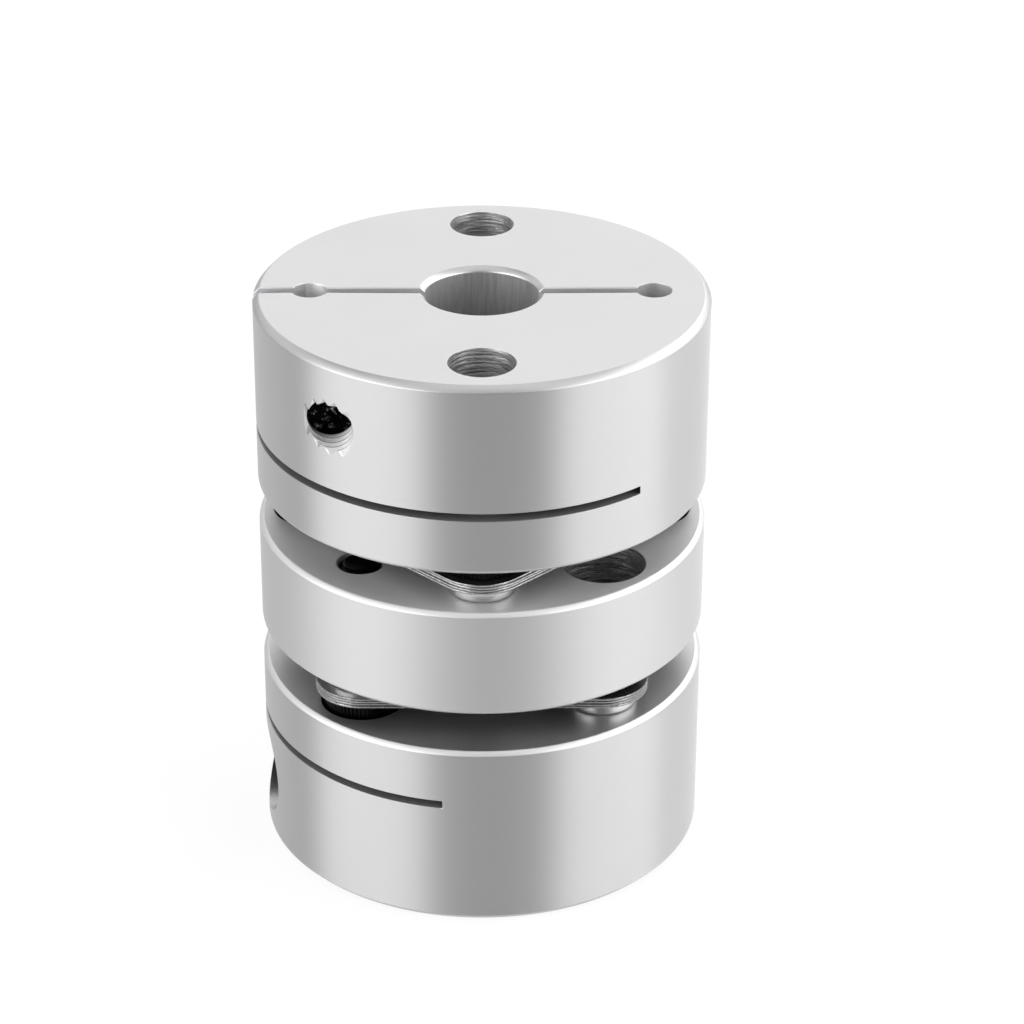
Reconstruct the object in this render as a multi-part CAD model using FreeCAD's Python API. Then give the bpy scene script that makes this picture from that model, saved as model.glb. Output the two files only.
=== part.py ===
import FreeCAD, Part
import math
import os

# A double disc coupling that joins two shafts in line. Two clamp hubs and a spacer are
# held apart by two packs of thin spring leaves. Each pack is screwed by two opposite
# corners to its hub and by the other two corners to the spacer, so it bends a little
# when the shafts don't line up, and turns both without play.
#
# The coupling stands on its lower end. The origin is the middle of that end face, and
# Z is the shaft axis. Angles are counted from X, seen from above. All sizes are in mm.

# Turned body
outer_diameter = 32.0
hub_length = 14.0
spacer_length = 8.0
rim_chamfer = 0.45
edge_chamfer = 0.3
spacer_bore = 12.0

# Shaft bore of both hubs
bore_diameter = 8.0
bore_chamfer = 0.35

# Saw cuts that turn the outer part of a hub into a clamp ring
flange_thickness = 4.1
slot_width = 0.55
slot_saw_diameter = 63.0
slot_web = 3.4
slot_saw_shift = 1.2
slit_width = 0.9

# Clamp screw across the slit
clamp_thread = 4.0
clamp_length = 14.0
clamp_head_diameter = 7.0
clamp_head_height = 4.0
clamp_socket_width = 3.0
clamp_socket_depth = 2.0
clamp_rim_distance = 5.8
clamp_drop = 4.7
clamp_seat = 4.0
clamp_head_clearance = 0.15
clamp_shank_clearance = 0.25

# Pack screws on one pitch circle
pitch_rim_distance = 4.0
pack_thread = 3.0
pack_tap_drill = 2.5
pack_head_diameter = 5.5
pack_head_height = 3.0
pack_socket_width = 2.5
pack_socket_depth = 1.5
hub_screw_length = 5.0
spacer_screw_length = 10.0
pack_head_clearance = 0.2
pack_head_depth_clearance = 0.4
pack_shank_clearance = 0.1
access_diameter = 4.6

# Details that both sizes of screw and their holes share
head_chamfer = 0.3
tip_chamfer = 0.4
thread_clearance = 0.05
thread_countersink = 0.2

# Leaves and the collars that hold them off the turned faces
leaf_count = 4
leaf_thickness = 0.2
leaf_corner_radius = 3.3
leaf_opening = 14.0
collar_diameter = 5.0
collar_thickness = 1.1
collar_chamfer = 0.25

# Turn of the lower half against the upper half, seen from above
lower_half_turn = -45.0

# Sizes that follow from the ones above
outer_radius = outer_diameter / 2
bore_radius = bore_diameter / 2
pitch_radius = outer_radius - pitch_rim_distance
clamp_offset = outer_radius - clamp_rim_distance
slot_reach = outer_radius - slot_web
pack_thickness = leaf_count * leaf_thickness
pack_gap = pack_thickness + 2 * collar_thickness
lower_face = hub_length
spacer_bottom = lower_face + pack_gap
spacer_top = spacer_bottom + spacer_length
upper_face = spacer_top + pack_gap
head_hole_radius = pack_head_diameter / 2 + pack_head_clearance
head_hole_depth = pack_head_height - collar_thickness + pack_head_depth_clearance
shank_hole_radius = pack_thread / 2 + pack_shank_clearance
full_turn = 360.0
half_turn = 180.0
quarter_turn = 90.0
leaf_corners = 4
socket_sides = 6

X_AXIS = FreeCAD.Vector(1, 0, 0)
Y_AXIS = FreeCAD.Vector(0, 1, 0)
Z_AXIS = FreeCAD.Vector(0, 0, 1)
ORIGIN = FreeCAD.Vector(0, 0, 0)


def revolved(profile):
    """Turn a closed outline of (radius, height) corners about Z."""
    corners = [FreeCAD.Vector(radius, 0, height) for radius, height in profile]
    outline = Part.makePolygon(corners + [corners[0]])
    return Part.Face(outline).revolve(ORIGIN, Z_AXIS, full_turn)


def drilled(radius, x, y, bottom, top):
    """An upright cylinder between two heights."""
    return Part.makeCylinder(radius, top - bottom, FreeCAD.Vector(x, y, bottom))


def on_pitch_circle(angle):
    """The place of a pack screw at an angle about the axis."""
    turn = math.radians(angle)
    return pitch_radius * math.cos(turn), pitch_radius * math.sin(turn)


def placed(shape, turn, lift):
    """A copy turned about the shaft axis and raised."""
    copy = shape.copy()
    copy.rotate(ORIGIN, Z_AXIS, turn)
    copy.translate(Z_AXIS * lift)
    return copy


def pointing(shape, upwards):
    """A copy that keeps its top up, or is turned upside down about X."""
    copy = shape.copy()
    if not upwards:
        copy.rotate(ORIGIN, X_AXIS, half_turn)
    return copy


def tapped_hole(x, y, bottom, top):
    """A tapped hole through a wall, cut at the size of the screw and countersunk at both mouths."""
    radius = pack_thread / 2
    mouth = radius + thread_countersink
    hole = drilled(radius, x, y, bottom, top)
    low_mouth = Part.makeCone(mouth, radius, thread_countersink, FreeCAD.Vector(x, y, bottom))
    high_start = FreeCAD.Vector(x, y, top - thread_countersink)
    high_mouth = Part.makeCone(radius, mouth, thread_countersink, high_start)
    return hole.fuse([low_mouth, high_mouth])


def hub_blank():
    """The turned hub, with its pack face at height 0 and its shaft end at the top."""
    return revolved([
        (outer_radius - edge_chamfer, 0),
        (outer_radius, edge_chamfer),
        (outer_radius, hub_length - rim_chamfer),
        (outer_radius - rim_chamfer, hub_length),
        (bore_radius + bore_chamfer, hub_length),
        (bore_radius, hub_length - bore_chamfer),
        (bore_radius, bore_chamfer),
        (bore_radius + bore_chamfer, 0),
    ])


def ring_slot():
    """The cut of a round saw that parts the clamp ring from the flange, all but a web at +X."""
    saw_radius = slot_saw_diameter / 2
    middle = FreeCAD.Vector(slot_reach - saw_radius, -slot_saw_shift, flange_thickness)
    return Part.makeCylinder(saw_radius, slot_width, middle)


def ring_slit():
    """The upright cut through the clamp ring, from its open side at -X to the hole in the web."""
    start = FreeCAD.Vector(-outer_radius, -slit_width / 2, flange_thickness)
    return Part.makeBox(outer_radius + pitch_radius, slit_width, hub_length - flange_thickness, start)


def clamp_hole():
    """The stepped cross hole: tapped at -Y of the slit, clear at +Y, with a recess for the head."""
    height = hub_length - clamp_drop
    start = FreeCAD.Vector(-clamp_offset, 0, height)
    seat = FreeCAD.Vector(-clamp_offset, clamp_seat, height)
    tapped = Part.makeCylinder(clamp_thread / 2, outer_radius, start, -Y_AXIS)
    clear = Part.makeCylinder(clamp_thread / 2 + clamp_shank_clearance, outer_radius, start, Y_AXIS)
    recess = Part.makeCylinder(clamp_head_diameter / 2 + clamp_head_clearance, outer_radius, seat, Y_AXIS)
    return tapped.fuse([clear, recess])


def hub():
    """One clamp hub. Its own pack screws sit at 0 and 180 degrees, the key holes at 90 and -90."""
    cuts = [ring_slot(), ring_slit(), clamp_hole()]
    for angle in (0, half_turn):
        x, y = on_pitch_circle(angle)
        cuts.append(tapped_hole(x, y, 0, flange_thickness))
        cuts.append(drilled(pack_tap_drill / 2, x, y, flange_thickness, hub_length))
    for angle in (quarter_turn, -quarter_turn):
        x, y = on_pitch_circle(angle)
        cuts.append(drilled(head_hole_radius, x, y, 0, head_hole_depth))
        cuts.append(drilled(access_diameter / 2, x, y, 0, hub_length))
    return hub_blank().cut(cuts)


def spacer():
    """The middle disc, drilled through at eight places: four tapped, four clear for screw heads."""
    blank = revolved([
        (outer_radius - edge_chamfer, 0),
        (outer_radius, edge_chamfer),
        (outer_radius, spacer_length - edge_chamfer),
        (outer_radius - edge_chamfer, spacer_length),
        (spacer_bore / 2 + edge_chamfer, spacer_length),
        (spacer_bore / 2, spacer_length - edge_chamfer),
        (spacer_bore / 2, edge_chamfer),
        (spacer_bore / 2 + edge_chamfer, 0),
    ])
    cuts = []
    for half_start in (0, lower_half_turn):
        for angle in (0, half_turn):
            head_x, head_y = on_pitch_circle(half_start + angle)
            tap_x, tap_y = on_pitch_circle(half_start + angle + quarter_turn)
            cuts.append(drilled(head_hole_radius, head_x, head_y, 0, spacer_length))
            cuts.append(tapped_hole(tap_x, tap_y, 0, spacer_length))
    return blank.cut(cuts)


def leaf():
    """One spring leaf: a square with its rounded corners at the screws and a round opening."""
    edges = []
    corner_ends = []
    for corner in range(leaf_corners):
        angle = corner * quarter_turn
        x, y = on_pitch_circle(angle)
        middle = FreeCAD.Vector(x, y, 0)
        points = []
        for swing in (-quarter_turn / 2, 0, quarter_turn / 2):
            turn = math.radians(angle + swing)
            points.append(middle + FreeCAD.Vector(math.cos(turn), math.sin(turn), 0) * leaf_corner_radius)
        edges.append(Part.Arc(*points).toShape())
        corner_ends.append((points[0], points[-1]))
    for corner in range(leaf_corners):
        end = corner_ends[corner][1]
        next_start = corner_ends[(corner + 1) % leaf_corners][0]
        edges.append(Part.makeLine(end, next_start))
    outline = Part.Wire(Part.__sortEdges__(edges))
    blank = Part.Face(outline).extrude(Z_AXIS * leaf_thickness)
    cuts = [drilled(leaf_opening / 2, 0, 0, 0, leaf_thickness)]
    for corner in range(leaf_corners):
        x, y = on_pitch_circle(corner * quarter_turn)
        cuts.append(drilled(shank_hole_radius, x, y, 0, leaf_thickness))
    return blank.cut(cuts)


def collar():
    """A turned collar that carries a pack corner, standing on height 0."""
    outer = collar_diameter / 2
    return revolved([
        (shank_hole_radius, 0),
        (outer - collar_chamfer, 0),
        (outer, collar_chamfer),
        (outer, collar_thickness - collar_chamfer),
        (outer - collar_chamfer, collar_thickness),
        (shank_hole_radius, collar_thickness),
    ])


def socket_screw(thread, length, head_diameter, head_height, socket_width, socket_depth):
    """A socket head cap screw: its head stands on height 0 and its plain shank points down."""
    shank = thread / 2 - thread_clearance
    head = head_diameter / 2
    body = revolved([
        (0, -length),
        (shank - tip_chamfer, -length),
        (shank, tip_chamfer - length),
        (shank, 0),
        (head, 0),
        (head, head_height - head_chamfer),
        (head - head_chamfer, head_height),
        (0, head_height),
    ])
    corner_radius = socket_width / 2 / math.cos(math.pi / socket_sides)
    floor = Z_AXIS * (head_height - socket_depth)
    corners = []
    for side in range(socket_sides):
        turn = math.radians(side * full_turn / socket_sides)
        corners.append(floor + FreeCAD.Vector(math.cos(turn), math.sin(turn), 0) * corner_radius)
    socket = Part.Face(Part.makePolygon(corners + [corners[0]])).extrude(Z_AXIS * socket_depth)
    return body.cut(socket)


def pack_screw(length):
    """A pack screw, head up, seated on height 0."""
    return socket_screw(
        pack_thread, length, pack_head_diameter, pack_head_height, pack_socket_width, pack_socket_depth,
    )


def clamp_screw():
    """The clamp screw where it lies in the upright hub, with its head towards +Y."""
    screw = socket_screw(
        clamp_thread, clamp_length, clamp_head_diameter, clamp_head_height,
        clamp_socket_width, clamp_socket_depth,
    )
    screw.rotate(ORIGIN, X_AXIS, -quarter_turn)
    screw.translate(FreeCAD.Vector(-clamp_offset, clamp_seat, hub_length - clamp_drop))
    return screw


def at_corner(shape, angle, lift):
    """A copy moved out to a pack screw's place."""
    copy = shape.copy()
    x, y = on_pitch_circle(angle)
    copy.translate(FreeCAD.Vector(x, y, lift))
    return copy


def half_corners(half):
    """The corners that are screwed to the hub and to the spacer in a half, each by a plain name."""
    if half == "upper":
        hub_corners = {"right": 0, "left": half_turn}
        spacer_corners = {"back": quarter_turn, "front": -quarter_turn}
    else:
        hub_corners = {"front_right": lower_half_turn, "back_left": lower_half_turn + half_turn}
        spacer_corners = {
            "back_right": lower_half_turn + quarter_turn,
            "front_left": lower_half_turn - quarter_turn,
        }
    return hub_corners, spacer_corners


def half_pieces(half):
    """All pieces of one half. The lower half is the upper one upside down, turned about the axis."""
    up = half == "upper"
    turn = 0 if up else lower_half_turn
    towards_hub = 1 if up else -1
    hub_face = upper_face if up else lower_face
    spacer_face = spacer_top if up else spacer_bottom
    pack_at_hub = hub_face - towards_hub * collar_thickness
    pack_at_spacer = spacer_face + towards_hub * collar_thickness

    nodes = {half + "_hub": placed(pointing(hub(), up), turn, hub_face)}
    for index in range(leaf_count):
        level = pack_at_spacer + towards_hub * index * leaf_thickness
        nodes["%s_leaf_%d" % (half, index + 1)] = placed(pointing(leaf(), up), turn, level)
    screws = {
        "clamp_screws": [placed(pointing(clamp_screw(), up), turn, hub_face)],
        "hub_screws": [],
        "spacer_screws": [],
    }
    hub_corners, spacer_corners = half_corners(half)
    for corner, angle in hub_corners.items():
        nodes["%s_collar_%s" % (half, corner)] = at_corner(pointing(collar(), not up), angle, hub_face)
        screw = pointing(pack_screw(hub_screw_length), not up)
        screws["hub_screws"].append(at_corner(screw, angle, pack_at_spacer))
    for corner, angle in spacer_corners.items():
        nodes["%s_collar_%s" % (half, corner)] = at_corner(pointing(collar(), up), angle, spacer_face)
        screw = pointing(pack_screw(spacer_screw_length), up)
        screws["spacer_screws"].append(at_corner(screw, angle, pack_at_hub))
    return nodes, screws


def coupling():
    """Every node by name. Screws of one kind share a node."""
    upper_nodes, upper_screws = half_pieces("upper")
    lower_nodes, lower_screws = half_pieces("lower")
    nodes = {"spacer": placed(spacer(), 0, spacer_bottom)}
    nodes.update(upper_nodes)
    nodes.update(lower_nodes)
    for kind in upper_screws:
        nodes[kind] = Part.makeCompound(upper_screws[kind] + lower_screws[kind])
    return nodes


os.makedirs("parts", exist_ok=True)
for name, shape in coupling().items():
    shape.exportStep("parts/" + name + ".step")
    print("%-26s solids %d, volume %.3f mm3" % (name, len(shape.Solids), shape.Volume))
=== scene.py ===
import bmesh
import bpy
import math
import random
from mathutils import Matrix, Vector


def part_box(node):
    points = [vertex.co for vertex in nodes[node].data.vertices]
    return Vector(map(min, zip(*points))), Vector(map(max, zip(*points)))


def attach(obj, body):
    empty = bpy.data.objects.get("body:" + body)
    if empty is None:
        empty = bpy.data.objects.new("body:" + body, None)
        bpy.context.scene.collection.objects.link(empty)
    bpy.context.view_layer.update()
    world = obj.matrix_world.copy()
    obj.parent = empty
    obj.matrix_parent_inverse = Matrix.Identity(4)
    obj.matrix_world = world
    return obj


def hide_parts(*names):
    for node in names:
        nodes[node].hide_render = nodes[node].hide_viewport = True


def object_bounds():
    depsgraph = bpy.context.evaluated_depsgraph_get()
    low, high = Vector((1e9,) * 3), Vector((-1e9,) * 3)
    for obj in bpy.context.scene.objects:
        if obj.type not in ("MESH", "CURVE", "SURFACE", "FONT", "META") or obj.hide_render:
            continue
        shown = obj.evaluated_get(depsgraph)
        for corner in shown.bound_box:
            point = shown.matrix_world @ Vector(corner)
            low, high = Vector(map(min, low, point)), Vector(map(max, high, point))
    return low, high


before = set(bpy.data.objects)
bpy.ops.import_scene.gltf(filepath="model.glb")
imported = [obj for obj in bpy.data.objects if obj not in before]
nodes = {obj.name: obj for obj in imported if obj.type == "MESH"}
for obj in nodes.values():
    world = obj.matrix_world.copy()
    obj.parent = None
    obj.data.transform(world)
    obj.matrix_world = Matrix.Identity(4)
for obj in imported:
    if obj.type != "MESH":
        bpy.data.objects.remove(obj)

# %% [markdown]
# # A disc coupling, finished in Blender
# The solids of the coupling come from the CAD frame: two clamp hubs, a spacer, two packs of thin
# spring leaves, their collars and ten screws. Blender gives each of them what a photograph of the real
# thing shows: broken edges, cut threads, knurled heads, turned and blasted metal.
# All sizes are in metres, and every piece is made where the frame has it.

mm = 0.001
cad_low, cad_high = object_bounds()


def height_of(node):
    """Lowest and highest point of a CAD node."""
    low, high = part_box(node)
    return low[2], high[2]


upper_face, top = height_of("upper_hub")
lower_face = height_of("lower_hub")[1]
spacer_low, spacer_high = height_of("spacer")
outer_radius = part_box("spacer")[1][0]
hub_length = top - upper_face
spacer_length = spacer_high - spacer_low
print("hub %.2f mm, spacer %.2f mm" % (hub_length / mm, spacer_length / mm))

# %% [markdown]
# ## Small helpers
# Operators work on what is selected, and the imported frame arrives selected. So each step first makes
# one object the only selected one. Cutting tools are ordinary primitives that a Boolean modifier
# subtracts, as a mill or a drill would. A tool carries the material of the surface that it leaves
# behind, and the modifier passes this material on to the cut faces.

# %% Selecting, placing and cutting
round_tool_sides = 64


def alone(thing):
    """Make one object the only selected and the active one."""
    bpy.ops.object.select_all(action="DESELECT")
    thing.select_set(True)
    bpy.context.view_layer.objects.active = thing


def settle(thing, name, finish):
    """Put the place of a new primitive into its mesh, name it and give it its material."""
    alone(thing)
    bpy.ops.object.transform_apply(location=True, rotation=True, scale=True)
    thing.name = name
    thing.data.name = name
    thing.data.materials.clear()
    thing.data.materials.append(finish)
    return thing


def rod(name, finish, radius, low, high, place=(0, 0), sides=round_tool_sides):
    """An upright cylinder between two heights."""
    bpy.ops.mesh.primitive_cylinder_add(
        vertices=sides, radius=radius, depth=high - low,
        location=(place[0], place[1], (low + high) / 2),
    )
    return settle(bpy.context.object, name, finish)


def pick(thing, kind, wanted):
    """Enter edit mode with only the wanted edges or faces selected, and count them."""
    alone(thing)
    bpy.ops.object.mode_set(mode="EDIT")
    bpy.ops.mesh.select_mode(type=kind)
    bpy.ops.mesh.select_all(action="DESELECT")
    mesh = bmesh.from_edit_mesh(thing.data)
    parts = {"VERT": mesh.verts, "EDGE": mesh.edges, "FACE": mesh.faces}[kind]
    found = [part for part in parts if wanted(part)]
    for part in found:
        part.select_set(True)
    bmesh.update_edit_mesh(thing.data)
    return len(found)


def leave_edit():
    bpy.ops.object.mode_set(mode="OBJECT")


def cut(body, tool, how="DIFFERENCE"):
    """Subtract a tool from a body, and throw the tool away."""
    alone(body)
    step = body.modifiers.new("cut", "BOOLEAN")
    step.operation = how
    step.solver = "EXACT"
    step.material_mode = "TRANSFER"
    step.object = tool
    bpy.ops.object.modifier_apply(modifier=step.name)
    bpy.data.objects.remove(tool)


def turn_place(radius, angle):
    """A place on a circle round the shaft axis, by its angle from X in degrees."""
    return radius * math.cos(math.radians(angle)), radius * math.sin(math.radians(angle))


print("outer radius %.2f mm" % (outer_radius / mm))

# %% [markdown]
# ## Shared surface effects
# Metal is never one flat colour. A few effects repeat in its finishes, so each is a shader node group,
# used with its own values: fine grain left by blasting, fine rings left by a turning tool, streaks
# left by a drill, and soft patches where hands and oil changed the sheen. On a turned piece either the
# height or the radius changes along a surface, so their sum gives rings on the round sides and on the
# end faces alike. Each group puts out one number between 0 and 1 that changes over the surface.

# %% A builder for node groups
def new_group(name, inputs, output):
    """An empty shader node group with number inputs and one number output."""
    group = bpy.data.node_groups.new(name, "ShaderNodeTree")
    for title, value in inputs.items():
        socket = group.interface.new_socket(title, in_out="INPUT", socket_type="NodeSocketFloat")
        socket.default_value = value
    group.interface.new_socket(output, in_out="OUTPUT", socket_type="NodeSocketFloat")
    start = group.nodes.new("NodeGroupInput")
    end = group.nodes.new("NodeGroupOutput")
    return group, start, end


def node_in(tree, kind, **settings):
    """A new node with some of its settings."""
    node = tree.nodes.new(kind)
    for name, value in settings.items():
        setattr(node, name, value)
    return node


def maths(tree, operation, first, second=None):
    """A Math node on two numbers or sockets, and its result."""
    node = node_in(tree, "ShaderNodeMath", operation=operation)
    for socket, value in zip(node.inputs, (first, second)):
        if hasattr(value, "links"):
            tree.links.new(value, socket)
        elif value is not None:
            socket.default_value = value
    return node.outputs[0]


# %% Blasted grain
def make_grain():
    """Fine grain between 0 and 1, in object space."""
    group, start, end = new_group("blasted grain", {"Scale": 9000.0, "Detail": 3.0}, "Grain")
    place = node_in(group, "ShaderNodeTexCoord")
    noise = node_in(group, "ShaderNodeTexNoise")
    group.links.new(place.outputs["Object"], noise.inputs["Vector"])
    group.links.new(start.outputs["Scale"], noise.inputs["Scale"])
    group.links.new(start.outputs["Detail"], noise.inputs["Detail"])
    group.links.new(noise.outputs["Fac"], end.inputs["Grain"])
    return group


grain_group = make_grain()
print("group:", grain_group.name)


# %% Turned rings
def make_rings():
    """Uneven fine rings between 0 and 1, from the height plus the distance to the shaft axis."""
    inputs = {"Rings per metre": 8000.0, "Across": 1.0}
    group, start, end = new_group("turned rings", inputs, "Rings")
    place = node_in(group, "ShaderNodeTexCoord")
    split = node_in(group, "ShaderNodeSeparateXYZ")
    group.links.new(place.outputs["Object"], split.inputs[0])
    x_squared = maths(group, "MULTIPLY", split.outputs["X"], split.outputs["X"])
    y_squared = maths(group, "MULTIPLY", split.outputs["Y"], split.outputs["Y"])
    radius = maths(group, "SQRT", maths(group, "ADD", x_squared, y_squared))
    spread = maths(group, "MULTIPLY", radius, start.outputs["Across"])
    along = maths(group, "ADD", split.outputs["Z"], spread)
    steps = maths(group, "MULTIPLY", along, start.outputs["Rings per metre"])
    noise = node_in(group, "ShaderNodeTexNoise", noise_dimensions="1D")
    noise.inputs["Scale"].default_value = 1.0
    noise.inputs["Detail"].default_value = 4.0
    group.links.new(steps, noise.inputs["W"])
    group.links.new(noise.outputs["Fac"], end.inputs["Rings"])
    return group


rings_group = make_rings()
print("group:", rings_group.name)


# %% Drill streaks
def make_streaks():
    """Short marks round a hole between 0 and 1: a noise pressed flat along the shaft axis."""
    group, start, end = new_group("drill streaks", {"Across": 450.0, "Along": 6500.0}, "Streaks")
    place = node_in(group, "ShaderNodeTexCoord")
    scale = node_in(group, "ShaderNodeCombineXYZ")
    pressed = node_in(group, "ShaderNodeVectorMath", operation="MULTIPLY")
    for socket, title in zip(scale.inputs, ("Across", "Across", "Along")):
        group.links.new(start.outputs[title], socket)
    group.links.new(place.outputs["Object"], pressed.inputs[0])
    group.links.new(scale.outputs[0], pressed.inputs[1])
    noise = node_in(group, "ShaderNodeTexNoise")
    noise.inputs["Scale"].default_value = 1.0
    noise.inputs["Detail"].default_value = 5.0
    noise.inputs["Roughness"].default_value = 0.65
    group.links.new(pressed.outputs[0], noise.inputs["Vector"])
    sharper = node_in(group, "ShaderNodeMapRange")
    sharper.inputs["From Min"].default_value = 0.35
    sharper.inputs["From Max"].default_value = 0.65
    group.links.new(noise.outputs["Fac"], sharper.inputs["Value"])
    group.links.new(sharper.outputs["Result"], end.inputs["Streaks"])
    return group


streaks_group = make_streaks()
print("group:", streaks_group.name)


# %% Soft patches
def make_patches():
    """Large soft patches between 0 and 1."""
    group, start, end = new_group("handled patches", {"Scale": 160.0}, "Patches")
    place = node_in(group, "ShaderNodeTexCoord")
    noise = node_in(group, "ShaderNodeTexNoise")
    noise.inputs["Detail"].default_value = 5.0
    noise.inputs["Roughness"].default_value = 0.6
    group.links.new(place.outputs["Object"], noise.inputs["Vector"])
    group.links.new(start.outputs["Scale"], noise.inputs["Scale"])
    group.links.new(noise.outputs["Fac"], end.inputs["Patches"])
    return group


patches_group = make_patches()
print("group:", patches_group.name)

# %% [markdown]
# ## The finishes
# The hubs and the spacer are turned from aluminium bar. Their round sides keep microscopic rings from
# the tool, which smear reflections up and down into the long upright bands of the photograph. In the
# Principled shader this is anisotropy, turned a quarter so that the smear runs along the shaft. Each
# surface gets a material of its own, with the same few effects mixed at different strength. A share
# below 0 takes an effect away from the others, so that only their peaks are left.

# %% A builder for metals
smear_turn = 0.25


def metal(
    name, dark, light, rough, rough_spread, detail, anisotropy=0.0, metallic=1.0, specular=0.5,
):
    """A metal whose colour, roughness and relief vary by grain, rings or streaks, and patches.

    dark and light are the two ends of its colour, and detail is what surface_detail gives.
    """
    material = bpy.data.materials.new(name)
    material.use_nodes = True
    tree = material.node_tree
    shader = tree.nodes["Principled BSDF"]
    shader.inputs["Metallic"].default_value = metallic
    shader.inputs["Specular IOR Level"].default_value = specular
    shader.inputs["Anisotropic"].default_value = anisotropy
    shader.inputs["Anisotropic Rotation"].default_value = smear_turn
    grain = node_in(tree, "ShaderNodeGroup", node_tree=grain_group)
    streaks = detail["streaks"]
    rings = node_in(tree, "ShaderNodeGroup", node_tree=streaks_group if streaks else rings_group)
    patches = node_in(tree, "ShaderNodeGroup", node_tree=patches_group)
    grain.inputs["Scale"].default_value = detail["grain scale"]
    if streaks:
        rings.inputs["Across"].default_value = streaks[0]
        rings.inputs["Along"].default_value = streaks[1]
    else:
        rings.inputs["Rings per metre"].default_value = detail["rings"]
        rings.inputs["Across"].default_value = detail["across"]
    mixed = maths(tree, "MULTIPLY", grain.outputs["Grain"], detail["grain tint"])
    for effect, share in ((rings, "ring tint"), (patches, "patch tint")):
        tint = maths(tree, "MULTIPLY", effect.outputs[0], detail[share])
        mixed = maths(tree, "ADD", mixed, tint)
    colour = node_in(tree, "ShaderNodeMix", data_type="RGBA")
    tree.links.new(mixed, colour.inputs["Factor"])
    colour.inputs["A"].default_value = (*dark, 1.0)
    colour.inputs["B"].default_value = (*light, 1.0)
    tree.links.new(colour.outputs["Result"], shader.inputs["Base Color"])
    sheen = node_in(tree, "ShaderNodeMapRange")
    sheen.inputs["To Min"].default_value = rough - rough_spread
    sheen.inputs["To Max"].default_value = rough + rough_spread
    tree.links.new(patches.outputs["Patches"], sheen.inputs["Value"])
    tree.links.new(sheen.outputs["Result"], shader.inputs["Roughness"])
    relief = maths(tree, "MULTIPLY", grain.outputs["Grain"], detail["grain height"])
    ring_relief = maths(tree, "MULTIPLY", rings.outputs[0], detail["ring height"])
    bump = node_in(tree, "ShaderNodeBump")
    bump.inputs["Distance"].default_value = mm
    tree.links.new(maths(tree, "ADD", relief, ring_relief), bump.inputs["Height"])
    tree.links.new(bump.outputs["Normal"], shader.inputs["Normal"])
    return material


def surface_detail(
    grain_scale=9000.0, grain_height=0.002, grain_tint=0.3,
    rings=8000.0, across=1.0, ring_height=0.002, ring_tint=0.3,
    patch_tint=0.4, streaks=None,
):
    """The numbers of a metal's fine detail. Heights are in millimetres, tints are shares of colour.

    rings are per metre, and across is their share over a face. streaks are the marks per metre
    across and along the shaft axis, and take the place of the rings.
    """
    return {
        "grain scale": grain_scale, "grain height": grain_height, "grain tint": grain_tint,
        "rings": rings, "across": across, "ring height": ring_height, "ring tint": ring_tint,
        "patch tint": patch_tint, "streaks": streaks,
    }


def finish_count():
    print("finishes:", len(bpy.data.materials))


# %% [markdown]
# The outside of the hubs and the spacer comes first. The spacer's side is a little rougher than the
# hubs', so its dark band is softer. The blasted outer end faces scatter light evenly: almost nothing in
# them mirrors the lamps, so they stay pale grey from every side. The hubs' faces towards the packs are
# left bright and mirror the dark gap. The chamfers show two more finishes: the one round the hubs'
# outer end faces is a darker copy of the other, painted shade that dims the highlight they catch.

# %% Outside of the aluminium pieces
turned_side = metal(
    "turned_side", (0.47, 0.47, 0.475), (0.55, 0.55, 0.555), 0.50, 0.03,
    surface_detail(rings=12000.0, across=0.0, ring_height=0.0006, grain_height=0.0006), anisotropy=0.92,
)
spacer_side = metal(
    "spacer_side", (0.51, 0.51, 0.515), (0.59, 0.59, 0.595), 0.62, 0.03,
    surface_detail(rings=12000.0, across=0.0, ring_height=0.0006, grain_height=0.0006), anisotropy=0.70,
)
matt_end = metal(
    "matt_end", (0.505, 0.505, 0.51), (0.59, 0.59, 0.595), 0.60, 0.03,
    surface_detail(grain_scale=14000.0, grain_height=0.0012, ring_height=0.0, ring_tint=0.05),
    metallic=0.12, specular=0.0,
)
flange_end = metal(
    "flange_end", (0.58, 0.58, 0.585), (0.68, 0.68, 0.685), 0.42, 0.03,
    surface_detail(grain_scale=14000.0, grain_height=0.0012, ring_height=0.0, ring_tint=0.05),
)
faced_end = metal(
    "faced_end", (0.56, 0.56, 0.565), (0.66, 0.66, 0.665), 0.50, 0.04,
    surface_detail(rings=9000.0, ring_height=0.0015, ring_tint=0.25), metallic=0.6,
)
# A darker copy of broken_edge: painted shade that dims the highlight on the chamfers at the hubs' outer
# ends.
top_chamfer_painted_shade = metal(
    "top_chamfer_painted_shade", (0.42, 0.42, 0.425), (0.53, 0.53, 0.535), 0.42, 0.04,
    surface_detail(ring_height=0.0006),
)
broken_edge = metal(
    "broken_edge", (0.58, 0.58, 0.585), (0.70, 0.70, 0.705), 0.50, 0.03,
    surface_detail(ring_height=0.0006),
)
finish_count()
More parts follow.
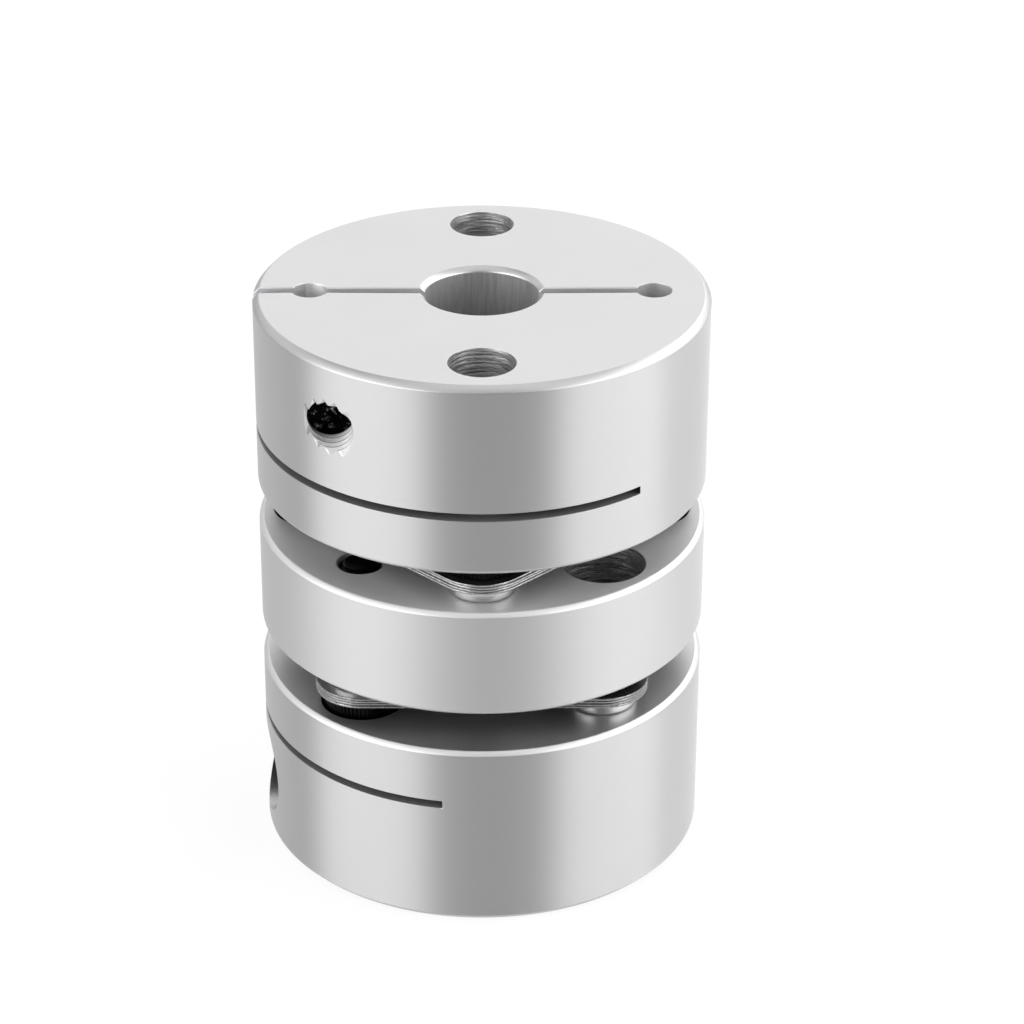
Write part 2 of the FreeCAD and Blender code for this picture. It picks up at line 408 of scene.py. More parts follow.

# %% [markdown]
# Inside the holes each tool leaves its own marks. The reamed bore shows fine upright lines. A drill
# leaves strong level streaks, as light and dark bands in the key holes. The milled recess is even. The
# saw's wall deep in its narrow slot is painted dark, as painted shade, while the slit across the ring,
# which catches more light, has the same finish in a lighter tone. A fresh thread is pale and matt.

# %% Walls of holes and cuts
bored_wall = metal(
    "bored_wall", (0.42, 0.42, 0.425), (0.80, 0.80, 0.805), 0.38, 0.05,
    surface_detail(streaks=(4500.0, 350.0), ring_height=0.003, ring_tint=0.4, patch_tint=0.3),
    metallic=0.85,
)
drilled_wall = metal(
    "drilled_wall", (0.12, 0.12, 0.125), (0.95, 0.95, 0.955), 0.30, 0.05,
    surface_detail(
        streaks=(450.0, 6500.0), ring_height=0.02, ring_tint=0.75, grain_tint=0.1, patch_tint=0.15,
    ),
    metallic=0.85,
)
milled_wall = metal(
    "milled_wall", (0.36, 0.36, 0.365), (0.60, 0.60, 0.605), 0.36, 0.05,
    surface_detail(
        grain_scale=3500.0, grain_height=0.004, grain_tint=0.6, ring_height=0.0, ring_tint=0.05,
    ),
)
# Painted shade: the slot's wall is the slit's finish in a darker colour, for the shade deep in the
# narrow cut.
saw_wall_painted_shade = metal(
    "saw_wall_painted_shade", (0.26, 0.26, 0.265), (0.50, 0.50, 0.505), 0.45, 0.05,
    surface_detail(rings=5000.0, across=0.3, ring_height=0.006, ring_tint=0.6), metallic=0.8,
)
slit_wall = metal(
    "slit_wall", (0.45, 0.45, 0.455), (0.75, 0.75, 0.755), 0.45, 0.05,
    surface_detail(rings=5000.0, across=0.3, ring_height=0.006, ring_tint=0.6), metallic=0.8,
)
cut_thread = metal(
    "cut_thread", (0.62, 0.62, 0.625), (0.78, 0.78, 0.785), 0.40, 0.06,
    surface_detail(ring_height=0.001, grain_height=0.001), metallic=0.4,
)
finish_count()

# %% [markdown]
# Spring steel is rolled bright. Its sheared edges are broken into light and dark grain, and are kept
# dark overall as painted shade in the fine grooves between the leaves. The collars are turned and
# polished. Black oxide is a deep black with a soft gloss. Only the clamp screws show their tips, where
# the oxide has worn off in a few spots.

# %% Spring steel, collars and black screws
spring_leaf = metal(
    "spring_leaf", (0.26, 0.26, 0.257), (0.50, 0.50, 0.495), 0.30, 0.06,
    surface_detail(grain_scale=2500.0, grain_height=0.002, ring_height=0.002, rings=16000.0),
)
# Sheared grain, with a near black dark end that is partly painted shade between the leaves.
sheared_edge_painted_shade = metal(
    "sheared_edge_painted_shade", (0.03, 0.03, 0.029), (0.46, 0.46, 0.455), 0.26, 0.08,
    surface_detail(
        grain_scale=3500.0, grain_height=0.03, grain_tint=0.8, ring_height=0.0, ring_tint=0.1,
    ),
)
turned_steel = metal(
    "turned_steel", (0.42, 0.42, 0.416), (0.66, 0.66, 0.655), 0.24, 0.04,
    surface_detail(rings=14000.0, ring_height=0.002, across=0.0), anisotropy=0.5,
)
black_oxide = metal(
    "black_oxide", (0.002, 0.002, 0.0022), (0.008, 0.008, 0.0085), 0.34, 0.08,
    surface_detail(grain_scale=6000.0, grain_height=0.004, ring_height=0.0, patch_tint=0.6),
)
worn_oxide = metal(
    "worn_oxide", (0.002, 0.002, 0.0022), (0.60, 0.60, 0.60), 0.26, 0.08,
    surface_detail(
        streaks=(1400.0, 1400.0), ring_height=0.05, ring_tint=1.0, grain_tint=-0.6, patch_tint=-0.6,
    ),
)
finish_count()

# %% [markdown]
# ## A clamp hub
# The real hub is turned from bar, drilled, sawn round three quarters of its girth, slit across and
# tapped for its clamp screw. The same order works here: a cylinder primitive with beveled rims is cut
# by one tool after another. The thread is cut last, after the edges are broken, so that its crests
# stay sharp where they run out on the round side. The number of sides isn't free: with 316 of them no
# upright facet edge comes close to the ends of the slot or the mouth of the recess, where it would
# leave slivers that the bevels can't follow.

# %% Sizes of the hub
rim_chamfer = 0.45 * mm
edge_chamfer = 0.3 * mm
bore_radius = 4.0 * mm
bore_chamfer = 0.35 * mm
flange = 4.1 * mm
slot_width = 0.55 * mm
slot_saw_radius = 31.5 * mm
slot_web = 3.4 * mm
slot_saw_shift = 1.2 * mm
slit_width = 0.9 * mm
pitch_radius = outer_radius - 4.0 * mm
clamp_offset = outer_radius - 5.8 * mm
clamp_drop = 4.7 * mm
clamp_seat = 4.0 * mm
recess_radius = 3.65 * mm
clear_radius = 2.25 * mm
tap_drill_radius = 1.65 * mm
small_drill_radius = 1.25 * mm
pack_thread_radius = 1.5 * mm
access_radius = 2.3 * mm
head_hole_radius = 2.95 * mm
head_hole_depth = 2.3 * mm
edge_break = 0.07 * mm
slit_break = 0.13 * mm
over = 1.0 * mm
near = 0.01 * mm
round_sides = 316
quarter = 90
print("pitch radius %.2f mm, clamp screw at %.2f mm" % (pitch_radius / mm, clamp_offset / mm))


# %% Rims and chamfers
def rim_edge(radius, height, place, slack=0.02 * mm):
    """A test for the edges of a level circle round a place."""
    middle = Vector(place)

    def wanted(edge):
        return all(
            abs(vert.co.z - height) < slack and abs((vert.co.xy - middle).length - radius) < slack
            for vert in edge.verts
        )
    return wanted


def bevel_rim(body, radius, height, width, steps=1, place=(0, 0)):
    """Bevel the rim of a turned body or the mouth of an upright hole."""
    pick(body, "EDGE", rim_edge(radius, height, place))
    bpy.ops.mesh.bevel(offset=width, segments=steps, affect="EDGES", clamp_overlap=False)
    leave_edit()


nearly_upright, nearly_level = 0.2, 0.95


def finish_slopes(body, finish, low, high):
    """Give the chamfers between two heights a finish of their own."""
    if finish.name not in body.data.materials:
        body.data.materials.append(finish)
    index = body.data.materials.find(finish.name)
    for face in body.data.polygons:
        sloped = nearly_upright < abs(face.normal.z) < nearly_level
        if sloped and low < face.center.z < high:
            face.material_index = index


# %% The turned blank
def turned_blank(name, length, rim_low, rim_high, side, low_end, high_end):
    """A beveled disc whose round side and end faces have their own finish."""
    blank = rod(name, side, outer_radius, 0, length, sides=round_sides)
    finishes = blank.data.materials
    for end, way in ((low_end, -1), (high_end, 1)):
        if end.name not in finishes:
            finishes.append(end)
        for face in blank.data.polygons:
            if face.normal.z * way > 0.5:
                face.material_index = finishes.find(end.name)
    for height, width in ((0, rim_low), (length, rim_high)):
        bevel_rim(blank, outer_radius, height, width)
    return blank


bore_sides = 128


def bore_out(body, radius, chamfer, length):
    """Bore a turned body through and chamfer both mouths."""
    cut(body, rod("bore tool", bored_wall, radius, -over, length + over, sides=bore_sides))
    for height in (0, length):
        bevel_rim(body, radius, height, chamfer)


hub = turned_blank(
    "hub", hub_length, edge_chamfer, rim_chamfer, turned_side, flange_end, matt_end,
)
bore_out(hub, bore_radius, bore_chamfer, hub_length)
finish_slopes(hub, broken_edge, -over, over)
# The chamfers at the outer end get the darker copy, as painted shade.
finish_slopes(hub, top_chamfer_painted_shade, hub_length - over, hub_length + over)
print("hub blank faces:", len(hub.data.polygons))

# %% [markdown]
# The saw that parts the clamp ring from the flange is a round blade, so its cut is a thin disc that
# reaches past the axis and leaves a web. The slit is a straight cut across the ring. Key holes and
# tapped holes are drilled upright, and the clamp screw's hole crosses the slit in steps: a recess for
# the head, a clear hole, and later the thread.

# %% Sawing, slitting and drilling
saw_sides = 512
recess_sides = 96


def slot_tool():
    """The disc of a round saw."""
    middle = outer_radius - slot_web - slot_saw_radius
    place = (middle, -slot_saw_shift)
    low, high = flange, flange + slot_width
    return rod("saw", saw_wall_painted_shade, slot_saw_radius, low, high, place, sides=saw_sides)


def slit_tool():
    """A straight slitting cut from the open side to the small hole in the web."""
    start, stop = -outer_radius - over, pitch_radius
    low, high = flange + slot_width / 2, hub_length + over
    bpy.ops.mesh.primitive_cube_add(size=1, location=((start + stop) / 2, 0, (low + high) / 2))
    bpy.context.object.scale = (stop - start, slit_width, high - low)
    return settle(bpy.context.object, "slitting saw", slit_wall)


def drill_tool(name, radius, place, low, high):
    return rod(name, drilled_wall, radius, low, high, place)


def cross_rod(name, finish, radius, start, stop, sides=round_tool_sides):
    """A cylinder along Y through the clamp screw's axis."""
    bpy.ops.mesh.primitive_cylinder_add(
        vertices=sides, radius=radius, depth=abs(stop - start),
        location=(-clamp_offset, (start + stop) / 2, hub_length - clamp_drop),
        rotation=(math.radians(quarter), 0, 0),
    )
    return settle(bpy.context.object, name, finish)


cut(hub, slot_tool())
cut(hub, slit_tool())
for angle in (0, 2 * quarter):
    spot = turn_place(pitch_radius, angle)
    low, high = flange - over / 2, hub_length + over
    cut(hub, rod("tap drill", slit_wall, small_drill_radius, low, high, spot))
    cut(hub, drill_tool("pack tap", pack_thread_radius, spot, -over, flange + slot_width / 4))
for angle in (quarter, -quarter):
    spot = turn_place(pitch_radius, angle)
    cut(hub, drill_tool("key drill", access_radius, spot, -over, hub_length + over))
    cut(hub, drill_tool("head drill", head_hole_radius, spot, -over, head_hole_depth))
recess_end = outer_radius + over
recess_mill = cross_rod(
    "recess mill", milled_wall, recess_radius, clamp_seat, recess_end, sides=recess_sides,
)
cut(hub, recess_mill)
cut(hub, cross_rod("clear drill", milled_wall, clear_radius, 0, clamp_seat + over))
print("hub with its holes, faces:", len(hub.data.polygons))

# %% [markdown]
# No real edge is quite sharp, and a broken one catches a thin line of light. The mouth of the slit is
# beveled by itself, because it is broken wider than the rest, and then a Bevel modifier takes every
# edge sharper than its angle limit. Where bevels cross, their tips can rise a few hundredths of a
# millimetre over the end face, so these tips are pressed back onto it.

# %% Breaking the edges
merge_distance = 0.004 * mm
flat_face_weight = 100


def shade(body, angle=40.0):
    """Smooth shading up to an angle, weighted so that large flat faces stay flat."""
    alone(body)
    bpy.ops.object.shade_smooth_by_angle(angle=math.radians(angle), keep_sharp_edges=False)
    weights = body.modifiers.new("flat faces", "WEIGHTED_NORMAL")
    weights.keep_sharp = True
    weights.weight = flat_face_weight
    bpy.ops.object.modifier_apply(modifier=weights.name)


def soften(body, width, steps=2, limit=35.0):
    """Break all sharp edges a little, and shade the rest smooth with flat faces kept flat."""
    alone(body)
    bpy.ops.object.mode_set(mode="EDIT")
    bpy.ops.mesh.select_all(action="SELECT")
    bpy.ops.mesh.remove_doubles(threshold=merge_distance)
    leave_edit()
    edges = body.modifiers.new("broken edges", "BEVEL")
    edges.width = width
    edges.segments = steps
    edges.limit_method = "ANGLE"
    edges.angle_limit = math.radians(limit)
    edges.use_clamp_overlap = False
    bpy.ops.object.modifier_apply(modifier=edges.name)
    shade(body)


def is_slit_mouth(edge):
    """Whether an edge runs along the mouth of the slit on the end face."""
    return all(
        abs(vert.co.z - hub_length) < near and abs(abs(vert.co.y) - slit_width / 2) < near
        for vert in edge.verts
    )


def flatten_above(body, height):
    """Press the tips that crossing bevels raise over an end face back onto it."""
    count = pick(body, "VERT", lambda vert: vert.co.z > height)
    bpy.ops.transform.resize(value=(1, 1, 0), center_override=(0, 0, height))
    leave_edit()
    return count


print("slit mouth edges:", pick(hub, "EDGE", is_slit_mouth))
bpy.ops.mesh.bevel(offset=slit_break, segments=2, affect="EDGES", clamp_overlap=False)
leave_edit()
soften(hub, edge_break)
print("tips pressed back:", flatten_above(hub, hub_length))
print("hub with edges broken, faces:", len(hub.data.polygons))

# %% [markdown]
# ## Threads
# A screw thread is one tooth profile carried round the axis and up by one pitch each turn. The Screw
# modifier does exactly this with a line of edges, and its turns join because the profile is one pitch
# long. Two flat bisect cuts then give the rod clean, closed ends. The same rod, with a thicker core, is
# the tap: it drills and threads the hub in one cut, so screw and hub match turn by turn. After such a
# cut the round side would shade unevenly, so it is given the exact normals of a cylinder.

# %% A threaded rod
touching = 0.0001 * mm
welded = 10 * touching
flank_angle = 30
spare_turns = 4
thread_sides = 40


def profile_line(name, points):
    """An upright line through (radius, height) points, extruded from a single vertex."""
    bpy.ops.mesh.primitive_plane_add(size=mm)
    line = bpy.context.object
    alone(line)
    bpy.ops.object.mode_set(mode="EDIT")
    bpy.ops.mesh.select_mode(type="VERT")
    bpy.ops.mesh.select_all(action="SELECT")
    bpy.ops.mesh.merge(type="CENTER")
    bpy.ops.transform.translate(value=(points[0][0], 0, points[0][1]))
    for (radius, height), (next_radius, next_height) in zip(points, points[1:]):
        step = (next_radius - radius, 0, next_height - height)
        bpy.ops.mesh.extrude_region_move(TRANSFORM_OT_translate={"value": step})
    leave_edit()
    line.name = name
    return line


def threaded_rod(name, finish, root, crest, pitch, low, high, slack=0.0):
    """A closed rod with a sharp thread between two heights."""
    flank = (crest - root) * math.tan(math.radians(flank_angle))
    flat = pitch / 8
    start = (pitch - flat) / 2 - flank - slack
    stop = (pitch + flat) / 2 + flank + slack
    line = profile_line(name, [
        (root, 0), (root, start), (crest, start + flank),
        (crest, stop - flank), (root, stop), (root, pitch),
    ])
    turns = math.ceil((high - low) / pitch) + spare_turns
    screw = line.modifiers.new("thread", "SCREW")
    screw.axis = "Z"
    screw.screw_offset = pitch
    screw.iterations = turns
    screw.steps = thread_sides
    screw.render_steps = thread_sides
    screw.use_merge_vertices = True
    screw.merge_threshold = welded
    bpy.ops.object.modifier_apply(modifier=screw.name)
    first = math.floor(low / pitch) - 1
    bpy.ops.object.mode_set(mode="EDIT")
    bpy.ops.mesh.select_all(action="SELECT")
    bpy.ops.transform.translate(value=(0, 0, first * pitch))
    bpy.ops.mesh.remove_doubles(threshold=welded)
    for level, keeps_upper in ((low, True), (high, False)):
        bpy.ops.mesh.select_all(action="SELECT")
        bpy.ops.mesh.bisect(
            plane_co=(0, 0, level), plane_no=(0, 0, 1), use_fill=True, threshold=touching,
            clear_inner=keeps_upper, clear_outer=not keeps_upper,
        )
    bpy.ops.mesh.select_all(action="SELECT")
    bpy.ops.mesh.normals_make_consistent(inside=False)
    leave_edit()
    return settle(line, name, finish)


# %% Tapping the hub
facing = 0.75


def true_round(body, radius, left_out):
    """Give a round side its exact normals, so that no cut shows in its shading."""
    mesh = body.data
    normals = [corner.vector.copy() for corner in mesh.corner_normals]
    for face in mesh.polygons:
        if mesh.materials[face.material_index] == left_out:
            continue
        for index in face.loop_indices:
            place = mesh.vertices[mesh.loops[index].vertex_index].co
            outward = Vector((place.x, place.y, 0)).normalized()
            if abs(place.xy.length - radius) < near and face.normal.dot(outward) > facing:
                normals[index] = outward
    mesh.normals_split_custom_set(normals)


clamp_radius = 2.0 * mm
clamp_root = 1.57 * mm
clamp_pitch = 0.7 * mm
clamp_length = 14.0 * mm
thread_clearance = 0.03 * mm


def clamp_axis():
    """From a screw that stands head up on height 0 to the clamp screw's place in the upright hub."""
    turn = Matrix.Rotation(math.radians(-quarter), 4, "X")
    return Matrix.Translation((-clamp_offset, clamp_seat, hub_length - clamp_drop)) @ turn


tap_low = -clamp_seat - outer_radius
tap_high = -clamp_seat + over / 2
tap_slack = 0.02 * mm
tap = threaded_rod(
    "tap", cut_thread, tap_drill_radius, clamp_radius, clamp_pitch, tap_low, tap_high, tap_slack,
)
tap.data.transform(clamp_axis())
cut(hub, tap)
shade(hub)
true_round(hub, outer_radius, cut_thread)
print("tapped hub, faces:", len(hub.data.polygons))

# %% [markdown]
# ## The spacer
# The disc between the two packs is bored out and drilled through at eight places. Four holes are tapped
# and countersunk for the screws that hold the packs to it: their mouths are beveled like a rim. The
# other four are wide enough for the heads of the screws that hold the packs to the hubs.

# %% Turning and drilling the spacer
spacer_bore = 6.0 * mm
countersink = 0.2 * mm
tap_sides = 48
lower_turn = -45

spacer = turned_blank(
    "spacer_disc", spacer_length, edge_chamfer, edge_chamfer, spacer_side, faced_end, faced_end,
)
bore_out(spacer, spacer_bore, edge_chamfer, spacer_length)
for half_start in (0, lower_turn):
    for side in (0, 2 * quarter):
        head_spot = turn_place(pitch_radius, half_start + side)
        tap_spot = turn_place(pitch_radius, half_start + side + quarter)
        low, high = -over, spacer_length + over
        cut(spacer, drill_tool("head hole", head_hole_radius, head_spot, low, high))
        cut(spacer, rod("pack tap", drilled_wall, pack_thread_radius, low, high, tap_spot, tap_sides))
        for height in (0, spacer_length):
            bevel_rim(spacer, pack_thread_radius, height, countersink, place=tap_spot)
finish_slopes(spacer, broken_edge, -over, spacer_length + over)
soften(spacer, edge_break)
true_round(spacer, outer_radius, cut_thread)
print("spacer faces:", len(spacer.data.polygons))

# %% [markdown]
# ## Spring leaves
# A leaf is stamped from thin spring steel: a square with round corners at the screws and a round
# opening for the shafts. It starts as a four sided cylinder, which is a square prism with its corners
# on the axes, and its upright edges are beveled round. Rolled edges leave a fine groove between one
# leaf and the next, and the edges take the sheared steel finish, whose dark tone is partly painted
# shade in these grooves, so a pack reads as a stack.

# %% One leaf
leaf_thickness = 0.2 * mm
leaf_corner = 3.3 * mm
leaf_opening = 7.0 * mm
leaf_hole = 1.6 * mm
leaf_break = 0.08 * mm
leaf_corner_steps = 24
leaf_opening_sides = 160
leaf_hole_sides = 32
edge_limit = 0.9


def is_upright(edge):
    return abs(edge.verts[0].co.z - edge.verts[1].co.z) > leaf_thickness / 2


def make_leaf():
    """The leaf pattern, lying on height 0."""
    reach = pitch_radius + leaf_corner * math.sqrt(2)
    leaf = rod("leaf", spring_leaf, reach, 0, leaf_thickness, sides=4)
    flat_angle = leaf.data.vertices[0].co.xy.angle_signed(Vector((1, 0)))
    leaf.data.transform(Matrix.Rotation(flat_angle, 4, "Z"))
    upright = pick(leaf, "EDGE", is_upright)
    bpy.ops.mesh.bevel(
        offset=leaf_corner, segments=leaf_corner_steps, affect="EDGES", clamp_overlap=False,
    )
    leave_edit()
    cut(leaf, rod("opening", spring_leaf, leaf_opening, -over, over, sides=leaf_opening_sides))
    for corner in range(4):
        spot = turn_place(pitch_radius, corner * quarter)
        cut(leaf, rod("leaf hole", spring_leaf, leaf_hole, -over, over, spot, leaf_hole_sides))
    soften(leaf, leaf_break)
    # The edge faces take the sheared finish, whose dark colour is partly painted shade between leaves.
    leaf.data.materials.append(sheared_edge_painted_shade)
    for face in leaf.data.polygons:
        if abs(face.normal.z) < edge_limit:
            face.material_index = 1
    print("leaf corners:", upright, "faces:", len(leaf.data.polygons))
    return leaf


leaf = make_leaf()

# %% [markdown]
# ## Collars
# Each pack corner stands on a small turned collar. Its chamfered rim gives the bright lines above and
# below the reflections of the collar's side.

# %% One collar
collar_radius = 2.5 * mm
collar_thickness = 1.1 * mm
collar_chamfer = 0.25 * mm
collar_hole_sides = 48


def make_collar():
    """The collar pattern, standing on height 0."""
    collar = rod("collar", turned_steel, collar_radius, 0, collar_thickness)
    for height in (0, collar_thickness):
        bevel_rim(collar, collar_radius, height, collar_chamfer, steps=3)
    low, high = -over, collar_thickness + over
    cut(collar, rod("collar hole", turned_steel, leaf_hole, low, high, sides=collar_hole_sides))
    shade(collar)
    return collar


collar = make_collar()

# %% [markdown]
# ## Socket head screws
# A socket head screw is forged with a hexagon socket, its head is knurled and the whole is blackened.
# The knurl is the cylinder's own side: every other upright edge is drawn in a little. The socket is a
# six sided drill, and the thread comes from the same rod as before. The rod is made too long and then
# trimmed by a blunt pin, which leaves the flat, chamfered end of a real screw.

# %% The knurled head
head_rounding = 0.3 * mm
head_foot = 0.12 * mm
knurl_depth = 0.07 * mm


def every_other(sides, radius):
    """A test for every other upright row of vertices on a round side."""
    step = 2 * math.pi / sides

    def wanted(vert):
        turn = round(math.atan2(vert.co.y, vert.co.x) / step)
        return abs(vert.co.xy.length - radius) < near and turn % 2 == 0
    return wanted


def corner_on_x(thing):
    """Turn a new many-sided rod so that its first corner lies on X."""
    start = thing.data.vertices[0].co
    thing.data.transform(Matrix.Rotation(-math.atan2(start.y, start.x), 4, "Z"))


def knurled_head(name, radius, height, knurls):
    """A cylinder with a rounded top rim and a knurled side, standing on height 0."""
    head = rod(name, black_oxide, radius, 0, height, sides=2 * knurls)
    bevel_rim(head, radius, height, head_rounding, steps=3)
    bevel_rim(head, radius, 0, head_foot)
    corner_on_x(head)
    drawn = pick(head, "VERT", every_other(2 * knurls, radius))
    share = (radius - knurl_depth) / radius
    bpy.ops.transform.resize(value=(share, share, 1), center_override=(0, 0, 0))
    leave_edit()
    print(name, "drawn in rows:", drawn // 2)
    return head


# %% One screw of each size
tip_chamfer = 0.4 * mm
tip_margin = 0.05 * mm
shank_overlap = 0.2 * mm
screw_shading = 35.0
half_sixth = 30


def socket_screw(
    name, radius, root, pitch, length, head_radius, head_height, across, depth, knurls, tip,
):
    """A whole screw, head up, seated on height 0, with a finish of its own on its tip.

    across and depth are the size of its socket.
    """
    head = knurled_head(name, head_radius, head_height, knurls)
    corner = across / 2 / math.cos(math.radians(half_sixth))
    hexagon = rod("hexagon", black_oxide, corner, head_height - depth, head_height + over, sides=6)
    corner_on_x(hexagon)
    cut(head, hexagon)
    shade(head, screw_shading)
    shank = threaded_rod(
        name + "_shank", black_oxide, root, radius, pitch,
        -length - pitch, shank_overlap, slack=-thread_clearance,
    )
    blunt = rod("blunt", tip, radius + tip_margin, -length, over, sides=thread_sides)
    bevel_rim(blunt, radius + tip_margin, -length, tip_chamfer)
    cut(shank, blunt, "INTERSECT")
    shade(shank, screw_shading)
    bpy.ops.object.select_all(action="DESELECT")
    shank.select_set(True)
    head.select_set(True)
    bpy.context.view_layer.objects.active = head
    bpy.ops.object.join()
    print(name, "faces:", len(head.data.polygons))
    return head


pack_screw_form = {
    "radius": pack_thread_radius - thread_clearance, "root": 1.18 * mm, "pitch": 0.5 * mm,
    "head_radius": 2.75 * mm, "head_height": 3.0 * mm, "across": 2.5 * mm, "depth": 1.5 * mm,
    "knurls": 60, "tip": black_oxide,
}
hub_screw = socket_screw("hub_screw", length=5.0 * mm, **pack_screw_form)
spacer_screw = socket_screw("spacer_screw", length=10.0 * mm, **pack_screw_form)
clamp_screw = socket_screw(
    "clamp_screw", clamp_radius - thread_clearance, clamp_root, clamp_pitch, clamp_length,
    head_radius=3.5 * mm, head_height=4.0 * mm, across=3.0 * mm, depth=2.0 * mm,
    knurls=72, tip=worn_oxide,
)

# %% [markdown]
# ## Putting the coupling together
# The lower half is the upper half upside down, turned by 45 degrees about the shaft axis. So one matrix
# per half carries every pattern to its place: first over or not, then round the axis, then up. Each
# finished piece stands for its CAD node, which it hides, and rides on the root body.

# %% Places of the pieces
def placed(pattern, name, where):
    """A copy of a finished pattern with a mesh of its own, moved by a matrix."""
    mesh = pattern.data.copy()
    mesh.name = name
    mesh.transform(where)
    piece = bpy.data.objects.new(name, mesh)
    bpy.context.scene.collection.objects.link(piece)
    return piece


def tipped(upright):
    """The matrix that leaves a pattern upright or turns it over."""
    return Matrix.Identity(4) if upright else Matrix.Rotation(math.pi, 4, "X")


def standing(upright, turn, lift):
    """The matrix that tips a pattern or not, turns it about the shaft axis and lifts it."""
    spin = Matrix.Rotation(math.radians(turn), 4, "Z")
    return Matrix.Translation((0, 0, lift)) @ spin @ tipped(upright)


def at_corner(upright, angle, lift):
    """The matrix that tips a pattern or not and moves it to a pack screw's place."""
    x, y = turn_place(pitch_radius, angle)
    return Matrix.Translation((x, y, lift)) @ tipped(upright)


def stands_for(piece, node):
    """Hide the CAD node that a finished piece stands for, and attach the piece to the root body."""
    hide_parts(node)
    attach(piece, "root")


# %% Assembly of both halves
chance = random.Random(7)
leaf_stray = 0.35
halves = {
    "upper": {"up": True, "turn": 0, "hub face": upper_face, "spacer face": spacer_high,
              "hub corners": {"right": 0, "left": 180}, "spacer corners": {"back": 90, "front": -90}},
    "lower": {"up": False, "turn": lower_turn, "hub face": lower_face, "spacer face": spacer_low,
              "hub corners": {"front_right": -45, "back_left": 135},
              "spacer corners": {"back_right": 45, "front_left": -135}},
}


def assemble(half, plan):
    """Make all pieces of one half."""
    up, turn = plan["up"], plan["turn"]
    side = 1 if up else -1
    at_hub = plan["hub face"] - side * collar_thickness
    at_spacer = plan["spacer face"] + side * collar_thickness
    hub_place = standing(up, turn, plan["hub face"])
    stands_for(placed(hub, half + "_hub_body", hub_place), half + "_hub")
    screw_place = hub_place @ clamp_axis()
    piece = placed(clamp_screw, half + "_clamp_screw", screw_place)
    stands_for(piece, "clamp_screws")
    for index in range(4):
        level = at_spacer + side * index * leaf_thickness
        astray = turn + chance.uniform(-leaf_stray, leaf_stray)
        piece = placed(leaf, "%s_spring_leaf_%d" % (half, index + 1), standing(up, astray, level))
        stands_for(piece, "%s_leaf_%d" % (half, index + 1))
    for corner, angle in plan["hub corners"].items():
        collar_name = "%s_collar_%s" % (half, corner)
        place = at_corner(not up, angle, plan["hub face"])
        stands_for(placed(collar, collar_name + "_turned", place), collar_name)
        place = at_corner(not up, angle, at_spacer)
        piece = placed(hub_screw, "%s_hub_screw_%s" % (half, corner), place)
        stands_for(piece, "hub_screws")
    for corner, angle in plan["spacer corners"].items():
        collar_name = "%s_collar_%s" % (half, corner)
        place = at_corner(up, angle, plan["spacer face"])
        stands_for(placed(collar, collar_name + "_turned", place), collar_name)
        place = at_corner(up, angle, at_hub)
        piece = placed(spacer_screw, "%s_spacer_screw_%s" % (half, corner), place)
        stands_for(piece, "spacer_screws")


for half, plan in halves.items():
    assemble(half, plan)
stands_for(placed(spacer, "spacer_body", standing(True, 0, spacer_low)), "spacer")
for pattern in (hub, spacer, leaf, collar, hub_screw, spacer_screw, clamp_screw):
    bpy.data.objects.remove(pattern)
meshes = [thing for thing in bpy.data.objects if thing.type == "MESH"]
print("pieces made:", len(meshes) - len(nodes))

# %% [markdown]
# ## Floor, lamps and camera
# The coupling stands on a plain pale floor that fades into a white background. Satin metal shows what
# is round it more than what shines on it, so the lamps are large soft panels all round: two strong ones
# left and right of the camera, weaker ones behind, and faint ones high up for the end faces. The gap
# between the two front panels makes the dark upright band in the middle of the round sides. The floor
# is white to the camera and to the metal by a Light Path mask, and not by more light on the coupling.

# %% A white floor
floor_side = 6.0
floor_colour = (0.88, 0.88, 0.88, 1.0)
white_share = 0.88


def make_floor():
    """A wide floor that looks white to the camera and to the metal, and keeps a soft shadow."""
    bpy.ops.mesh.primitive_plane_add(size=floor_side, location=(0, 0, 0))
    floor = bpy.context.object
    floor.name = "floor"
    material = bpy.data.materials.new("pale_floor")
    material.use_nodes = True
    tree = material.node_tree
    tree.nodes.remove(tree.nodes["Principled BSDF"])
    matt = node_in(tree, "ShaderNodeBsdfDiffuse")
    matt.inputs["Color"].default_value = floor_colour
    white = node_in(tree, "ShaderNodeEmission")
    white.inputs["Color"].default_value = (1.0, 1.0, 1.0, 1.0)
    path = node_in(tree, "ShaderNodeLightPath")
    seen = maths(tree, "MAXIMUM", path.outputs["Is Camera Ray"], path.outputs["Is Glossy Ray"])
    seen = maths(tree, "MAXIMUM", seen, path.outputs["Is Transmission Ray"])
    share = maths(tree, "MULTIPLY", seen, white_share)
    blend = node_in(tree, "ShaderNodeMixShader")
    tree.links.new(share, blend.inputs["Fac"])
    tree.links.new(matt.outputs[0], blend.inputs[1])
    tree.links.new(white.outputs[0], blend.inputs[2])
    tree.links.new(blend.outputs[0], tree.nodes["Material Output"].inputs["Surface"])
    floor.data.materials.append(material)


make_floor()
print("floor side %.1f m" % floor_side)

# %% Soft panels
middle = (cad_low + cad_high) / 2
panel_distance = 0.6


def direction(azimuth, elevation):
    """A unit vector. Azimuth 0 is the camera's side, and it grows towards the camera's right."""
    a, e = math.radians(azimuth), math.radians(elevation)
    return Vector((math.sin(a) * math.cos(e), -math.cos(a) * math.cos(e), math.sin(e)))


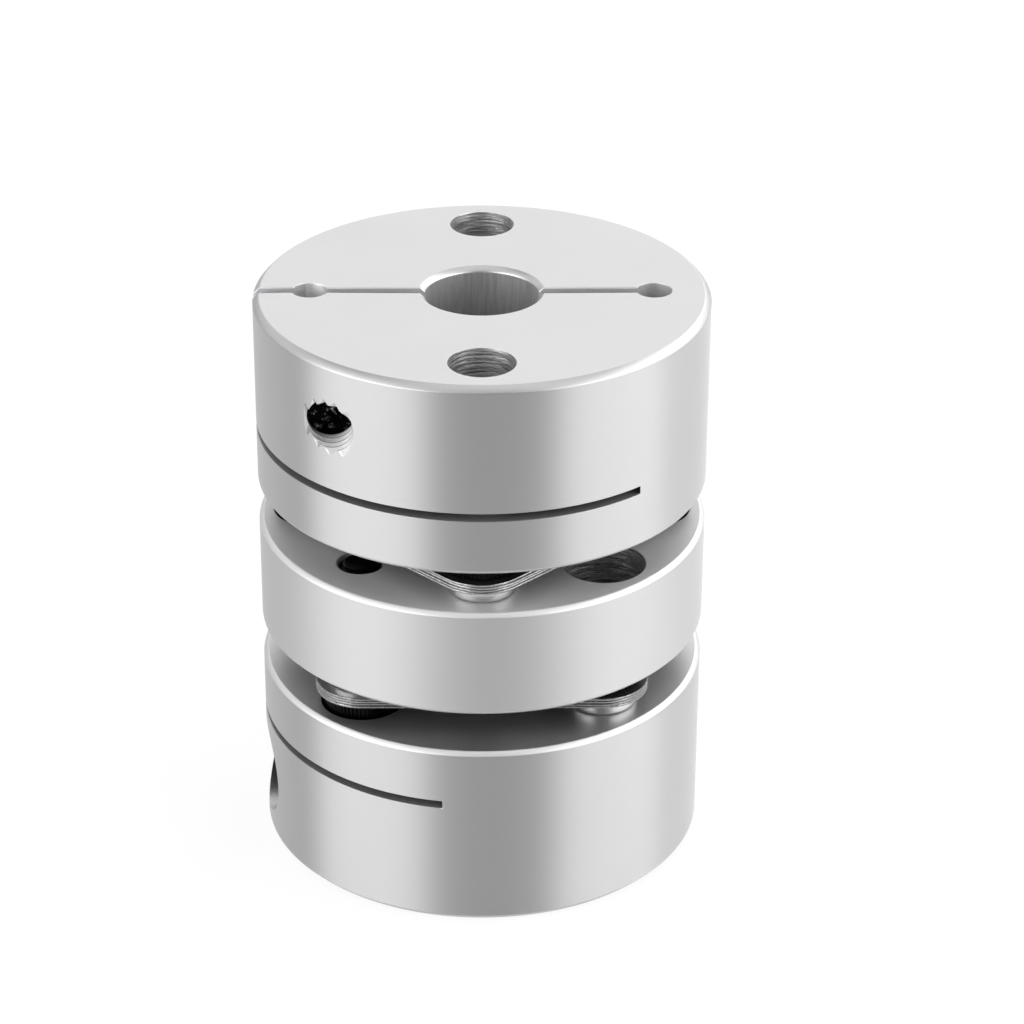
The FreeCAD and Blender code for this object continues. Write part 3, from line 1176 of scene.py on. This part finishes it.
def soft_panel(name, azimuth, elevation, width, height, radiance):
    """A rectangular lamp that faces the coupling, with the brightness of its face as its strength."""
    lamp = bpy.data.lights.new(name, "AREA")
    lamp.shape = "RECTANGLE"
    lamp.size = width
    lamp.size_y = height
    lamp.energy = radiance * math.pi * width * height
    thing = bpy.data.objects.new(name, lamp)
    bpy.context.scene.collection.objects.link(thing)
    out = direction(azimuth, elevation)
    thing.location = middle + out * panel_distance
    thing.rotation_euler = (-out).to_track_quat("-Z", "Y").to_euler()
    thing.visible_camera = False


# name, azimuth, elevation, width, height, radiance
panels = (
    ("left front panel", -58, 22, 0.68, 0.44, 3.9),
    ("left back panel", -130, 28, 0.50, 0.42, 1.15),
    ("right front panel", 67, 22, 0.66, 0.44, 3.7),
    ("right back panel", 130, 28, 0.70, 0.42, 2.7),
    ("back panel", 180, 30, 0.60, 0.50, 1.1),
    ("top panel", 0, 88, 0.50, 0.50, 1.2),
    ("high front panel", 0, 60, 0.50, 0.30, 0.6),
    ("high left panel", -75, 55, 0.50, 0.30, 0.4),
    ("high right panel", 75, 55, 0.50, 0.30, 0.7),
)
for panel in panels:
    soft_panel(*panel)
print("soft panels:", len(panels))

# %% A dim room
room_colour = (0.06, 0.06, 0.062, 1.0)
world = bpy.data.worlds.new("dim room")
world.use_nodes = True
world.node_tree.nodes["Background"].inputs["Color"].default_value = room_colour
bpy.context.scene.world = world
print("world:", world.name)

# %% [markdown]
# The camera looks down at 28 degrees from the front, with a long lens. The lens shift puts the object
# where the photograph has it, a little left of and below the middle.

# %% The camera
camera_distance = 0.2457
camera_elevation = 28.065
lens_width = 36.0
focal_pixels = 3385.4
image_pixels = 1024
centre_pixel = (481.96, 555.94)

camera = bpy.data.objects.new("camera", bpy.data.cameras.new("camera"))
bpy.context.scene.collection.objects.link(camera)
outward = direction(0, camera_elevation)
camera.location = middle + outward * camera_distance
camera.rotation_euler = (-outward).to_track_quat("-Z", "Y").to_euler()
camera.data.sensor_width = lens_width
camera.data.lens = focal_pixels / image_pixels * lens_width
camera.data.shift_x = 0.5 - centre_pixel[0] / image_pixels
camera.data.shift_y = centre_pixel[1] / image_pixels - 0.5
camera.data.clip_start = 10 * mm
bpy.context.scene.camera = camera
bpy.context.scene.view_settings.view_transform = "Standard"
print("camera lens %.1f mm" % camera.data.lens)

# %% [markdown]
# ## Measuring
# The dressed coupling should fill the same box as the CAD solids, whose box is printed here.

# %% The CAD box
print("CAD box (mm):", [round(v / mm, 2) for v in (*cad_low, *cad_high)])
